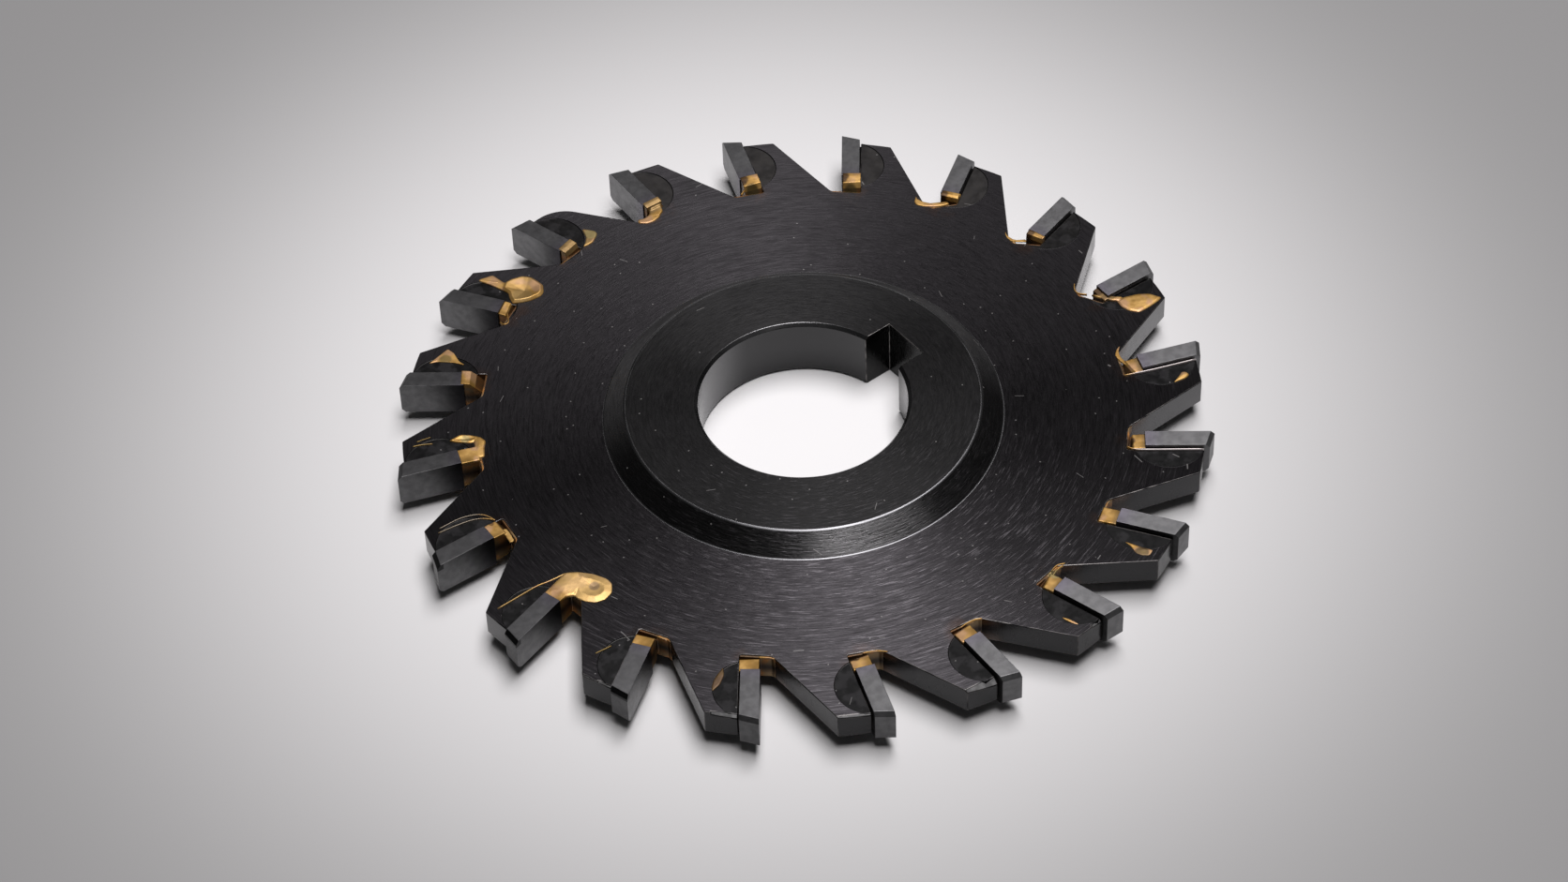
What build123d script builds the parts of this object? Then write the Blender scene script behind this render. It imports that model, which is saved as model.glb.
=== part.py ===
from build123d import *
import os
from math import atan2, cos, radians, sin, sqrt, tan

# Brazed-tip slot milling cutter. Millimetres, +Z along the axis, the lower hub face at Z 0
# and the keyway towards +X. The teeth are numbered counterclockwise from the keyway, and the
# cutter turns counterclockwise when it is seen from above.

# Cutting circle, bore and keyway
cutter_diameter = 125.0
cutting_width = 5.8
bore_diameter = 32.0
bore_chamfer = 0.5
keyway_width = 8.0
keyway_depth = 4.2  # below the bore wall

# Turned blank
hub_width = 10.0
hub_wall = 11.25  # from the bore wall to the edge of the hub face
hub_cone_run = 3.25  # from the edge of the hub face out to the foot of its cone
side_clearance = 0.75  # from the side of the tips in to the side of the plate
land_drop = 1.35  # from the cutting circle in to the land of the blank

# Teeth
tooth_count = 20
first_tooth_angle = 9.8  # of the first cutting corner from the keyway, degrees
rake_angle = 5.0
land_length = 4.9
floor_width = 4.7
flank_corner_radius = 0.8
seat_corner_radius = 0.4

# Carbide tips
tip_length = 10.0
tip_thickness = 2.9
tip_relief_angle = 12.0
tip_corner_chamfer = 0.6

# Spot faces ground round each tip on both sides of the plate
spot_face_diameter = 10.8
spot_face_depth = 0.2
spot_face_offset = 3.1  # of its centre, outward from the inner end of the tip

# Uneven work and wear on single teeth
webbed_gullets = (1, 2, 5, 20)  # their seat corner isn't cut out
web_height = 2.3
web_width = 3.4
shallow_gullets = (6, 7)
shallow_gullet_rise = 1.4
worn_heel_tooth = 6
worn_heel_radius = 6.0

# Braze filler
joint_thickness = 0.2
pool_length = 3.1  # from the inner end of the tip to the gullet floor
pool_top_drop = 0.4  # below the side of the tip
pool_rake_setback = 0.2  # behind the rake face
filler_side_drop = 0.15  # below the side of the plate at the gullet floor
coat_thickness = 0.3
coat_climb = 0.9  # up the flank from the gullet floor
splash_thickness = 0.15

# Runs of filler on the upper side of the plate. Each point is its distance outward from the
# inner end of the tip and then counterclockwise from the line to the cutting corner.
splash_outlines = {
    6: ((-1.2, -3.5), (1.4, -6.8), (-0.2, -8.1), (-1.6, -7.7), (-2.1, -5.6)),
    7: ((-1.2, -3.6), (0.8, -5.9), (4.0, -6.6), (6.2, -6.6), (4.8, -8.3), (2.3, -7.9),
        (0.0, -10.3), (-2.1, -10.2), (-4.0, -8.8), (-4.2, -7.2), (-2.5, -5.1)),
    8: ((6.3, -6.2), (3.9, -9.2), (1.1, -6.3), (3.5, -7.0)),
    9: ((1.2, -6.4), (-1.4, -7.3), (-3.5, -6.3), (-4.4, -4.6), (-3.9, -2.4), (-2.7, -1.4),
        (-2.2, -3.3), (-2.0, -5.0), (-0.3, -5.9)),
    11: ((-1.5, -3.6), (-5.0, -4.5), (-7.7, -1.5), (-8.1, 1.5), (-6.9, 3.3), (-5.0, 3.7),
         (-3.2, 2.2), (-2.6, -0.4)),
    13: ((4.9, -7.6), (3.0, -6.8), (0.9, -6.3), (-1.0, -6.1), (0.9, -7.0), (3.1, -7.6)),
    17: ((6.4, -6.6), (6.2, -8.0), (4.1, -8.0), (1.8, -6.8), (2.2, -6.2), (4.3, -7.0)),
    19: ((6.6, -6.0), (5.7, -6.9), (4.1, -7.2), (4.8, -6.1), (5.6, -5.1)),
    20: ((-0.5, -3.5), (1.1, -4.8), (3.1, -5.6), (5.3, -5.9), (7.6, -8.1), (5.6, -8.7),
         (2.7, -8.8), (1.3, -7.6), (0.5, -4.9), (-0.9, -3.6)),
}

cutting_radius = cutter_diameter / 2
bore_radius = bore_diameter / 2
hub_face_radius = bore_radius + hub_wall
hub_foot_radius = hub_face_radius + hub_cone_run
land_radius = cutting_radius - land_drop
plate_thickness = cutting_width - 2 * side_clearance
recessed_thickness = plate_thickness - 2 * spot_face_depth
mid_height = hub_width / 2
plate_top = mid_height + plate_thickness / 2
plate_bottom = mid_height - plate_thickness / 2
pitch_angle = 360 / tooth_count
rake = radians(rake_angle)
overcut = 5.0  # how far cutting shapes run past what they cut

# The tip's own frame: origin at the cutting corner, X outward along the rake face
tip_frame = Pos(cutting_radius, 0, mid_height) * Rot(0, 0, rake_angle)


def on_tooth(number, shape):
    return Rot(0, 0, first_tooth_angle + (number - 1) * pitch_angle) * shape


def polar(radius, angle):
    return radius * cos(angle), radius * sin(angle)


def seat_point(inward):
    """The point of the seat wall that lies this far in from the cutting corner."""
    back = tip_thickness + joint_thickness
    return (cutting_radius - inward * cos(rake) + back * sin(rake),
            -inward * sin(rake) - back * cos(rake))


def seat_run_to_land():
    """How far in from the cutting corner the seat wall meets the land."""
    x, y = seat_point(0)
    outward = x * cos(rake) + y * sin(rake)
    return outward - sqrt(outward ** 2 - x ** 2 - y ** 2 + land_radius ** 2)


def heel_angle():
    """The angle of a heel behind its own cutting corner, in radians."""
    x, y = seat_point(seat_run_to_land())
    return atan2(y, x) - land_length / land_radius


def floor_radius(number):
    radius = cutting_radius - tip_length - pool_length
    if number in shallow_gullets:
        radius += shallow_gullet_rise
    return radius


def gullet_corners(number):
    """The seat corner and the flank corner of the gullet floor, and the next tooth's heel."""
    floor = floor_radius(number)
    seat_corner = seat_point((seat_point(0)[0] - floor) / cos(rake))
    flank_corner = (floor, seat_corner[1] + floor_width)
    next_heel = polar(land_radius, heel_angle() + radians(pitch_angle))
    return seat_corner, flank_corner, next_heel


def nearest_vertices(outline, points):
    return [outline.vertices().sort_by_distance((x, y, 0))[0] for x, y in points]


def gullet_outline(number):
    seat_corner, flank_corner, next_heel = gullet_corners(number)
    rise = atan2(next_heel[1] - flank_corner[1], next_heel[0] - flank_corner[0])
    flank_end = (next_heel[0] + overcut * cos(rise), next_heel[1] + overcut * sin(rise))
    floor_points = [seat_corner]
    if number in webbed_gullets:
        web_end = seat_corner[1] + min(web_width, 0.8 * floor_width)
        web_foot = (seat_point(0)[0] - floor_radius(number) - web_height) / cos(rake)
        floor_points = [seat_point(web_foot), (floor_radius(number), web_end)]
    outline = Polygon(seat_point(-overcut), *floor_points, flank_corner, flank_end, align=None)
    outline = fillet(nearest_vertices(outline, [flank_corner]), flank_corner_radius)
    return fillet(nearest_vertices(outline, floor_points), seat_corner_radius)


def gullet_prism(number, height):
    outline = Pos(0, 0, mid_height) * gullet_outline(number)
    return extrude(outline, height / 2, both=True)


def turned_blank():
    outline = Polyline(
        (bore_radius + bore_chamfer, hub_width),
        (hub_face_radius, hub_width),
        (hub_foot_radius, plate_top),
        (land_radius, plate_top),
        (land_radius, plate_bottom),
        (hub_foot_radius, plate_bottom),
        (hub_face_radius, 0),
        (bore_radius + bore_chamfer, 0),
        (bore_radius, bore_chamfer),
        (bore_radius, hub_width - bore_chamfer),
        close=True,
    )
    return revolve(Plane.XZ * make_face(outline), Axis.Z)


def keyway():
    reach = bore_radius + keyway_depth
    return Pos(reach / 2, 0, mid_height) * Box(reach, keyway_width, hub_width + overcut)


def spot_faces():
    """The ground recess round one tip, on both sides of the plate."""
    disc = Cylinder(spot_face_diameter / 2, overcut)
    lift = recessed_thickness / 2 + overcut / 2
    centre = tip_frame * Pos(spot_face_offset - tip_length, -tip_thickness / 2, 0)
    return centre * Pos(0, 0, lift) * disc + centre * Pos(0, 0, -lift) * disc


def cutter_body(gullets):
    recesses = [on_tooth(number, spot_faces()) for number in gullets]
    body = turned_blank() - keyway() - list(gullets.values()) - recesses

    # The heel of one tooth is worn round, as far as its land leaves room
    before = worn_heel_tooth - 1
    corner, heel = gullet_corners(before)[1:]
    turn = atan2(heel[1], heel[0]) + radians(90) - atan2(heel[1] - corner[1], heel[0] - corner[0])
    radius = min(worn_heel_radius, 0.75 * land_length / tan(turn / 2))
    place = on_tooth(before, Pos(*heel, mid_height) * Vertex(0, 0, 0))
    return fillet(body.edges().filter_by(Axis.Z).sort_by_distance(place)[0], radius)


def carbide_tip():
    """One tip where its cutting corner lies straight outward along +X."""
    end_slope = tan(radians(rake_angle + tip_relief_angle))
    outline = Polygon(
        (0, 0),
        (-tip_length, 0),
        (-tip_length, -tip_thickness),
        (-tip_thickness * end_slope, -tip_thickness),
        align=None,
    )
    block = extrude(outline, cutting_width / 2, both=True)
    end_edges = [side.edges().sort_by(Axis.X)[-1] for side in block.faces().filter_by(Axis.Z)]
    return tip_frame * chamfer(end_edges, tip_corner_chamfer)


def braze_joint():
    """The layer of filler between the seat wall and the back of the tip, as far as the pool."""
    outer = seat_run_to_land()
    length = tip_length + joint_thickness - outer
    middle = Pos(-outer - length / 2, -tip_thickness - joint_thickness / 2, 0)
    return tip_frame * middle * Box(length, joint_thickness, recessed_thickness)


def braze_pool(number):
    """The filler that runs from the inner end of the tip down to the gullet floor."""
    tall = cutting_width / 2 - pool_top_drop
    low = plate_thickness / 2 - filler_side_drop
    side = Polygon(
        (-tip_length, tall),
        (-tip_length - pool_length, low),
        (-tip_length - pool_length - overcut, low),
        (-tip_length - pool_length - overcut, -low),
        (-tip_length - pool_length, -low),
        (-tip_length, -tall),
        align=None,
    )
    depth = tip_thickness + joint_thickness - pool_rake_setback
    block = extrude(Pos(0, -pool_rake_setback, 0) * Plane.XZ * side, depth)
    return (tip_frame * block) & gullet_prism(number, cutting_width)


def floor_coat(number):
    """A thin coat of filler over the gullet floor and a little way up the flank."""
    prism = gullet_prism(number, plate_thickness - 2 * filler_side_drop)
    above = Pos(coat_thickness, 0, 0) * prism
    top = floor_radius(number) + coat_climb
    seat_side = gullet_corners(number)[0][1]
    span = floor_width + overcut
    window = Pos(top - overcut / 2, seat_side + span / 2, mid_height)
    return (prism - above) & (window * Box(overcut, span, plate_thickness))


def splash(number, body, gullets):
    """A run of filler that lies on the upper side of the plate and stays on its tooth."""
    inner_end = cutting_radius - tip_length
    outline = make_face(Spline(*splash_outlines[number], periodic=True))
    height = spot_face_depth + splash_thickness
    layer = extrude(Pos(inner_end, 0, plate_top - spot_face_depth) * outline, height)
    land = Pos(0, 0, mid_height) * Cylinder(land_radius, hub_width)
    run = on_tooth(number, layer - carbide_tip()) & land
    return run - body - gullets[number - 1]


def braze(number, body, gullets):
    """All the filler of one tooth."""
    filler = on_tooth(number, braze_joint() + braze_pool(number) + floor_coat(number))
    if number in splash_outlines:
        filler += splash(number, body, gullets)
    return filler


def node(name, shape):
    export_step(shape, f"parts/{name}.step")


os.makedirs("parts", exist_ok=True)
gullet_height = plate_thickness + overcut
all_gullets = {
    number: on_tooth(number, gullet_prism(number, gullet_height))
    for number in range(1, tooth_count + 1)
}
whole_body = cutter_body(all_gullets)
node("cutter_body", whole_body)
for number in all_gullets:
    node(f"tip_{number:02d}", on_tooth(number, carbide_tip()))
    node(f"braze_{number:02d}", braze(number, whole_body, all_gullets))
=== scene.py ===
import bpy
from math import atan2, cos, hypot, pi, radians, sin, sqrt, tan
from mathutils import Matrix, Vector


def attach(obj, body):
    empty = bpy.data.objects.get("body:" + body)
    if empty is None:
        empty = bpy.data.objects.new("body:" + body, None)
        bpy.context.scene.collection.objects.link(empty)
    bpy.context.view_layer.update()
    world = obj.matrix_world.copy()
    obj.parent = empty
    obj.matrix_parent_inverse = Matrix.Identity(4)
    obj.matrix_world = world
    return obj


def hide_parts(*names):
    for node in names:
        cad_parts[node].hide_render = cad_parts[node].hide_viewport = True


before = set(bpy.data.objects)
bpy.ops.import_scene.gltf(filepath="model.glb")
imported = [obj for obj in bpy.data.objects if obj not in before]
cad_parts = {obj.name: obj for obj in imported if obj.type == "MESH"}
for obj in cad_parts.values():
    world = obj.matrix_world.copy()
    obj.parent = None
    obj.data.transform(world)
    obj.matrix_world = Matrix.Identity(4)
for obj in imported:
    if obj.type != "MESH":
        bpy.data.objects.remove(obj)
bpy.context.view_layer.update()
print("packed model loaded,", len(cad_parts), "solids")

# Pieces are drawn in millimetres, where the modelling tools work best, and settled in metres.
perMillimetre = 0.001


# shader helper: a socket that takes part in plain arithmetic
class Wire:
    def __init__(self, tree, socket=None):
        self.tree = tree
        self.socket = socket

    def node(self, kind, settings=None, sockets=None, output=0):
        made = self.tree.nodes.new(kind)
        for name, value in (settings or {}).items():
            setattr(made, name, value)
        for name, value in (sockets or {}).items():
            if isinstance(value, Wire):
                self.tree.links.new(value.socket, made.inputs[name])
            else:
                made.inputs[name].default_value = value
        return Wire(self.tree, made.outputs[output])

    def other(self, output):
        return Wire(self.tree, self.socket.node.outputs[output])

    def maths(self, operation, *values):
        return self.node("ShaderNodeMath", {"operation": operation}, dict(enumerate(values)))

    def cosine(self):
        return self.maths("COSINE", self)

    def sine(self):
        return self.maths("SINE", self)

    def mix(self, factor, first, second):
        sockets = {0: factor, 6: shade(first), 7: shade(second)}
        return self.node("ShaderNodeMix", {"data_type": "RGBA"}, sockets, output=2)

    def fade(self, start, end, low=0.0, high=1.0):
        # runs smoothly from low to high while the value runs from start to end
        sockets = {0: self, 1: start, 2: end, 3: low, 4: high}
        return self.node("ShaderNodeMapRange", {"interpolation_type": "SMOOTHSTEP"}, sockets)

    def noise(self, scale, detail=2.0, roughness=0.5):
        sockets = {"Vector": self, "Scale": scale, "Detail": detail, "Roughness": roughness}
        return self.node("ShaderNodeTexNoise", {}, sockets)

    def flecks(self, density, share, halfLength, halfWidth):
        # short marks, each in its own direction, in that share of the cells of a grid
        cell = self.node("ShaderNodeTexVoronoi", {}, {"Vector": self, "Scale": density,
                                                      "Randomness": 1.0}, output="Position")
        away = self.node("ShaderNodeVectorMath", {"operation": "SUBTRACT"}, {0: self, 1: cell})
        x = self.node("ShaderNodeSeparateXYZ", {}, {0: away})
        y = x.other("Y")
        draw = self.node("ShaderNodeSeparateColor", {}, {0: cell.other("Color")})
        turn = draw * 2 * pi
        along = x * turn.cosine() + y * turn.sine()
        across = y * turn.cosine() - x * turn.sine()
        inLength = self.maths("LESS_THAN", abs(along), halfLength)
        inWidth = abs(across).fade(halfWidth * 0.4, halfWidth, 1.0, 0.0)
        return inLength * inWidth * self.maths("LESS_THAN", draw.other("Green"), share)

    def __add__(self, other):
        return self.maths("ADD", self, other)

    def __sub__(self, other):
        return self.maths("SUBTRACT", self, other)

    def __rsub__(self, other):
        return self.maths("SUBTRACT", other, self)

    def __mul__(self, other):
        return self.maths("MULTIPLY", self, other)

    def __truediv__(self, other):
        return self.maths("DIVIDE", self, other)

    def __pow__(self, other):
        return self.maths("POWER", self, other)

    def __abs__(self):
        return self.maths("ABSOLUTE", self)


def shade(colour):
    # a colour's name stands for its numbers
    return (*colours[colour], 1) if isinstance(colour, str) else colour


def newMaterial(name, shaderValues):
    # gives the material, its shader, and the place in millimetres, whole and by axis
    material = bpy.data.materials.new(name)
    material.use_nodes = True
    shader = material.node_tree.nodes["Principled BSDF"]
    for socket, value in shaderValues.items():
        shader.inputs[socket].default_value = shade(value)
    place = Wire(material.node_tree).node("ShaderNodeTexCoord", output="Object")
    here = place.node("ShaderNodeVectorMath", {"operation": "SCALE"}, {0: place, "Scale": 1000.0})
    x = here.node("ShaderNodeSeparateXYZ", {}, {0: here})
    return material, shader, here, x, x.other("Y"), x.other("Z")


def feed(shader, socket, wire):
    wire.tree.links.new(wire.socket, shader.inputs[socket])


def wireLength(x, y):
    return (x * x + y * y) ** 0.5


def placeInTooth(x, y):
    # outward and counterclockwise in the frame of the nearest tooth
    turned = x.maths("ARCTAN2", y, x) + (frameStart - radians(tooth["firstAngle"]))
    angle = turned.maths("FLOORED_MODULO", turned, pitch) - frameStart
    radius = wireLength(x, y)
    return radius * angle.cosine(), radius * angle.sine()


def vector(x, y, z):
    tree = next(v for v in (x, y, z) if isinstance(v, Wire))
    return tree.node("ShaderNodeCombineXYZ", {}, {0: x, 1: y, 2: z})


# modelling helpers
def alone(piece):
    if bpy.context.object and bpy.context.object.mode != "OBJECT":
        bpy.ops.object.mode_set(mode="OBJECT")
    bpy.ops.object.select_all(action="DESELECT")
    piece.select_set(True)
    bpy.context.view_layer.objects.active = piece


def pick(piece, kind, test):
    # leaves the piece in edit mode with the corners, edges or faces selected that pass the test
    alone(piece)
    bpy.ops.object.mode_set(mode="EDIT")
    bpy.ops.mesh.select_mode(type=kind)
    bpy.ops.mesh.select_all(action="DESELECT")
    bpy.ops.object.mode_set(mode="OBJECT")
    mesh = piece.data
    for part in {"VERT": mesh.vertices, "EDGE": mesh.edges, "FACE": mesh.polygons}[kind]:
        part.select = test(part)
    bpy.ops.object.mode_set(mode="EDIT")


def addOutline(name, corners, upright=False, filled=True):
    # a ring of corners (across, along[, set-back of the rounding]), lying flat or standing up
    bpy.ops.object.select_all(action="DESELECT")
    kind = "NGON" if filled else "NOTHING"
    bpy.ops.mesh.primitive_circle_add(vertices=len(corners), fill_type=kind)
    piece = bpy.context.object
    piece.name = name
    spots = [Vector((corner[0], 0, corner[1]) if upright else (*corner[:2], 0))
             for corner in corners]
    for vertex, spot in zip(piece.data.vertices, spots):
        vertex.co = spot
    for spot, corner in zip(spots, corners):
        if len(corner) > 2:
            pick(piece, "VERT", lambda vertex: (vertex.co - spot).length < 1e-4)
            bpy.ops.mesh.bevel(affect="VERTICES", offset=corner[2], segments=4)
    alone(piece)
    return piece


def extrude(piece, start, move):
    # an outline is put at its start and drawn out to a solid
    pick(piece, "VERT", lambda vertex: True)
    bpy.ops.transform.translate(value=start)
    bpy.ops.mesh.extrude_region_move(TRANSFORM_OT_translate={"value": move})
    bpy.ops.mesh.select_all(action="SELECT")
    bpy.ops.mesh.normals_make_consistent(inside=False)
    bpy.ops.object.mode_set(mode="OBJECT")
    return piece


def drawUp(piece, low, high):
    # from a flat outline to a solid between two heights
    return extrude(piece, (0, 0, low), (0, 0, high - low))


def join(pieces, name):
    alone(pieces[0])
    for piece in pieces:
        piece.select_set(True)
    bpy.ops.object.join()
    pieces[0].name = name
    return pieces[0]


def turnedCopy(piece, name, angle):
    alone(piece)
    bpy.ops.object.duplicate()
    copy = bpy.context.object
    copy.name = name
    copy.rotation_euler.z = angle
    bpy.ops.object.transform_apply()
    return copy


def addModifier(piece, kind, **settings):
    alone(piece)
    modifier = piece.modifiers.new(kind.lower(), kind)
    for name, value in settings.items():
        setattr(modifier, name, value)
    bpy.ops.object.modifier_apply(modifier=modifier.name)


def smoothFaces(piece):
    alone(piece)
    bpy.ops.object.shade_smooth()
    addModifier(piece, "WEIGHTED_NORMAL", keep_sharp=False, weight=50)


def cut(piece, cutter, finishes, finish):
    # the faces that the cutter leaves have its own finish
    cutter.data.materials.clear()
    for material in finishes.values():
        cutter.data.materials.append(material)
    for face in cutter.data.polygons:
        face.material_index = list(finishes).index(finish)
    addModifier(piece, "BOOLEAN", operation="DIFFERENCE", solver="EXACT", object=cutter)
    bpy.data.objects.remove(cutter)


def settle(piece, name, node, material=None):
    # from millimetres to metres, then it stands for its solid
    piece.name = name
    alone(piece)
    bpy.ops.object.transform_apply()
    piece.scale = (perMillimetre,) * 3
    bpy.ops.object.transform_apply()
    if material:
        piece.data.materials.clear()
        piece.data.materials.append(material)
    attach(piece, "root")
    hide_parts(node)


# the teeth's common geometry, in a tooth's own frame: the cutting corner at (62.5, 0)
tooth = {
    "count": 20, "firstAngle": 9.8, "rake": 5.0, "cuttingRadius": 62.5, "landRadius": 61.15,
    "landLength": 4.9, "tipLength": 10.0, "tipThickness": 2.9, "joint": 0.2, "floorRadius": 49.4,
    "floorWidth": 4.7, "seatCornerRound": 0.4, "flankCornerRound": 0.45, "webCornerRound": 0.15,
    "webHeight": 2.3, "webWidth": 3.4, "webbed": (1, 2, 5, 20), "shallow": (6, 7),
    "shallowRise": 1.4, "wornHeel": 6, "wornHeelRadius": 6.0, "wornHeelSteps": 8,
    "plateTop": 7.15, "plateBottom": 2.85, "middle": 5.0, "tipHalfWidth": 2.9,
    "spotRadius": 5.4, "spotDepth": 0.09, "spotCentre": (55.753, -2.046),
    "cutterRun": 5.0,  # how far a gullet's cutter runs past the land
}
rake = radians(tooth["rake"])
pitch = 2 * pi / tooth["count"]
frameStart = 0.7 * pitch  # how far back each tooth's frame reaches


def toothAngle(number):
    return radians(tooth["firstAngle"]) + (number - 1) * pitch


def alongTip(inward, back):
    # a point this far in from the cutting corner and this far behind the rake face
    return (tooth["cuttingRadius"] - inward * cos(rake) + back * sin(rake),
            -inward * sin(rake) - back * cos(rake))


def seatPoint(inward):
    return alongTip(inward, tooth["tipThickness"] + tooth["joint"])


def seatInwardAt(radius):
    return (seatPoint(0)[0] - radius) / cos(rake)


def heelPoint():
    x, y = seatPoint(0)
    outward = x * cos(rake) + y * sin(rake)
    land = tooth["landRadius"]
    x, y = seatPoint(outward - sqrt(outward ** 2 - x ** 2 - y ** 2 + land ** 2))
    angle = atan2(y, x) - tooth["landLength"] / land + pitch
    return land * cos(angle), land * sin(angle)


def gulletKind(number):
    if number in tooth["webbed"]:
        return "webbed"
    return "shallow" if number in tooth["shallow"] else "plain"


def gulletFloor(kind):
    # the corners of the gullet floor from the seat to the flank
    floor = tooth["floorRadius"] + (tooth["shallowRise"] if kind == "shallow" else 0)
    seatCorner = seatPoint(seatInwardAt(floor))
    flankCorner = (floor, seatCorner[1] + tooth["floorWidth"], tooth["flankCornerRound"])
    if kind != "webbed":
        return [(*seatCorner, tooth["seatCornerRound"]), flankCorner]
    webTop = seatPoint(seatInwardAt(floor + tooth["webHeight"]))
    webFoot = (floor, seatCorner[1] + tooth["webWidth"])
    return [(*corner, tooth["webCornerRound"]) for corner in (webTop, webFoot)] + [flankCorner]


def addGullet(kind, wornHeel=False):
    floor = gulletFloor(kind)
    heel = heelPoint()
    reach = tooth["cutterRun"]
    flank = Vector(heel) - Vector(floor[-1][:2])
    flank.normalize()
    outline = [seatPoint(-reach), *floor]
    if wornHeel:
        # an arc that runs from the flank into the land
        radius, steps = tooth["wornHeelRadius"], tooth["wornHeelSteps"]
        inner = tooth["landRadius"] - radius
        side = Vector((-flank.y, flank.x)) * radius
        start = Vector(heel) + side
        ahead = start.dot(flank)
        centre = start + flank * (sqrt(ahead ** 2 - start.length_squared + inner ** 2) - ahead)
        begin = atan2(-side.y, -side.x)
        end = atan2(centre.y, centre.x)
        for step in range(steps + 1):
            angle = begin + (end - begin) * step / steps
            outline.append((centre.x + radius * cos(angle), centre.y + radius * sin(angle)))
        outline.append(tuple(centre * (tooth["landRadius"] + reach) / inner))
    else:
        outline.append(tuple(Vector(heel) + flank * reach))
    return drawUp(addOutline("gullet", outline), 0, tooth["middle"] * 2)


# the body: turned blank, gullets, keyway and spot faces
body = {
    "turningSteps": 360, "seamAngle": -0.5, "boreRadius": 16.0, "boreChamfer": 0.5,
    "hubFace": 27.25, "hubFoot": 30.5, "hubTop": 10.0, "boreEdgeRound": 0.08,
    "hubEdgeRound": 0.24, "hubFootRound": 0.14, "keywayHalf": 4.0, "keywayFloor": 20.2,
    "edgeBreak": 0.12, "spotEdgeBreak": 0.05, "sharp": 32, "spotFacets": 72, "grinderRoom": 0.5,
}

# Where the land's upper edge is ground off: tooth, from and to counterclockwise, width, and the
# degrees by which the facet leans so that it runs out clockwise
groundLands = [(15, -9.2, -2.4, 0.75, -7), (14, -9.2, -2.4, 0.35, -1), (13, -7.2, -2.4, 0.55, -3),
               (12, -5.6, -2.4, 0.35, -4), (16, -5.3, -2.4, 0.5, -8), (12, -9.2, -6.8, 0.25, 0)]


def localPlace(x, y):
    # the same point in the frame of the nearest tooth
    angle = (atan2(y, x) - radians(tooth["firstAngle"]) + frameStart) % pitch - frameStart
    return hypot(x, y) * cos(angle), hypot(x, y) * sin(angle)


def fromSpot(point):
    x, y = localPlace(point[0], point[1])
    return hypot(x - tooth["spotCentre"][0], y - tooth["spotCentre"][1])


def isSpareSeam(one, other):
    # a radial edge of a flat face, other than the twenty that are kept
    steps = body["turningSteps"] // tooth["count"]
    step = atan2(one.y, one.x) / (2 * pi) * body["turningSteps"]
    radial = abs(hypot(*one.xy) - hypot(*other.xy)) > 1
    return radial and abs(one.z - other.z) < 0.001 and round(step) % steps != 0


def addBlank():
    bore, chamfer, fine = body["boreRadius"], body["boreChamfer"], body["boreEdgeRound"]
    top, plateTop, plateBottom = body["hubTop"], tooth["plateTop"], tooth["plateBottom"]
    edge, foot = body["hubEdgeRound"], body["hubFootRound"]
    blank = addOutline("cutterBody", [
        (bore + chamfer, top, fine), (body["hubFace"], top, edge),
        (body["hubFoot"], plateTop, foot), (tooth["landRadius"], plateTop),
        (tooth["landRadius"], plateBottom), (body["hubFoot"], plateBottom, foot),
        (body["hubFace"], 0, edge), (bore + chamfer, 0, fine), (bore, chamfer, fine),
        (bore, top - chamfer, fine),
    ], upright=True, filled=False)
    pick(blank, "VERT", lambda vertex: True)
    bpy.ops.mesh.spin(steps=body["turningSteps"], angle=2 * pi, center=(0, 0, 0), axis=(0, 0, 1))
    bpy.ops.mesh.select_all(action="SELECT")
    bpy.ops.mesh.remove_doubles(threshold=0.001)
    bpy.ops.mesh.normals_make_consistent(inside=False)
    # flat faces keep one seam in each gullet, so that no other edge runs into their outlines
    points = blank.data.vertices
    pick(blank, "EDGE", lambda part: isSpareSeam(*(points[v].co for v in part.vertices)))
    bpy.ops.mesh.dissolve_edges(use_verts=False)
    bpy.ops.object.mode_set(mode="OBJECT")
    blank.rotation_euler.z = radians(tooth["firstAngle"] + body["seamAngle"])
    alone(blank)
    bpy.ops.object.transform_apply()
    return blank


def finishBlank(blank, finishes):
    # the turned faces, told apart by their place and by how level they are, 1 for a flat one
    for material in finishes.values():
        blank.data.materials.append(material)
    top, edge = body["hubTop"], body["hubEdgeRound"]
    for face in blank.data.polygons:
        radius = hypot(*face.center.xy)
        height = abs(face.center.z - top / 2)
        level = face.normal.z ** 2
        finish = "turned"
        if radius < body["boreRadius"] + 0.02:
            finish = "bored"
        elif radius < body["hubFace"] and level > 0.9:
            finish = "hubGround"
        elif radius > tooth["landRadius"] - 0.5:
            finish = "milled"
        elif body["hubFace"] < radius < body["hubFoot"]:
            finish = "coned"
        if radius < body["hubFace"] and 0.2 < level < 0.9:
            finish = "rimmed"
        hubRim = abs(radius - body["hubFace"]) < edge and height > top / 2 - edge
        hubFoot = abs(radius - body["hubFoot"]) < edge
        if (hubRim or hubFoot) and 0.6 < level < 0.99:
            finish = "rimmed"
        face.material_index = list(finishes).index(finish)


def addGulletCutters():
    patterns = {kind: addGullet(kind) for kind in ("plain", "webbed", "shallow")}
    patterns["worn"] = addGullet("webbed", wornHeel=True)
    cutters = []
    for number in range(1, tooth["count"] + 1):
        kind = "worn" if number == tooth["wornHeel"] - 1 else gulletKind(number)
        cutters.append(turnedCopy(patterns[kind], "gulletCutter", toothAngle(number)))
    for pattern in patterns.values():
        bpy.data.objects.remove(pattern)
    return join(cutters, "gulletCutters")


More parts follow.
